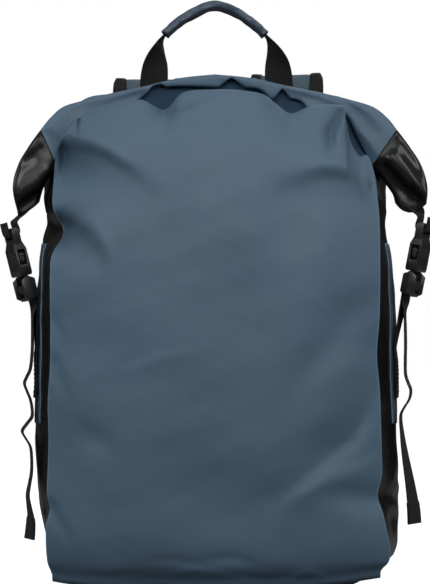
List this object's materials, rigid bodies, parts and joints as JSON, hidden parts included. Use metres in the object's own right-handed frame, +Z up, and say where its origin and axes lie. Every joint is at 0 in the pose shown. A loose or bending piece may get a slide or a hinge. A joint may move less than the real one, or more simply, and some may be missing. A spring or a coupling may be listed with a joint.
{
  "type": "roll-top backpack",
  "caption": "Waterproof coated canvas backpack with a rolled mouth clipped down by side-release buckles, black side gussets, a grab handle and padded shoulder straps.",
  "frame": {"origin": "middle of the base's flat underside, on the surface the bag stands on", "axes": "+Z up, the front panel faces -Y, the shoulder straps are on the +Y side, +X to the right seen from the front"},
  "size_m": [0.3873, 0.191, 0.5247],
  "materials": {
    "canvas_blue": "slate blue coated canvas, satin",
    "canvas_black": "black coated canvas, gloss",
    "sleeve_blue": "dark blue coated canvas sleeve",
    "pad_blue": "slate blue cloth over foam",
    "webbing_black": "black polyester webbing, ribbed",
    "plastic_black": "black acetal, fine texture"
  },
  "bodies": {
    "root": {"front_panel": "canvas_blue", "back_panel": "canvas_blue", "base_panel": "canvas_blue", "roll_centre": "canvas_blue", "gusset_patch_left": "canvas_blue", "gusset_patch_right": "canvas_blue", "gusset_left": "canvas_black", "gusset_right": "canvas_black", "roll_end_left": "canvas_black", "roll_end_right": "canvas_black", "handle_grip": "sleeve_blue", "shoulder_pad_left": "pad_blue", "shoulder_pad_right": "pad_blue", "pad_binding_left": "webbing_black", "pad_binding_right": "webbing_black", "handle_webbing": "webbing_black", "closure_tab_left": "webbing_black", "closure_tab_right": "webbing_black", "side_strap_left": "webbing_black", "side_strap_right": "webbing_black", "lower_strap_left": "webbing_black", "lower_strap_right": "webbing_black", "buckle_plug_left": "plastic_black", "buckle_plug_right": "plastic_black", "buckle_socket_left": "plastic_black", "buckle_socket_right": "plastic_black", "ladder_lock_left": "plastic_black", "ladder_lock_right": "plastic_black"}
  },
  "joints": []
}
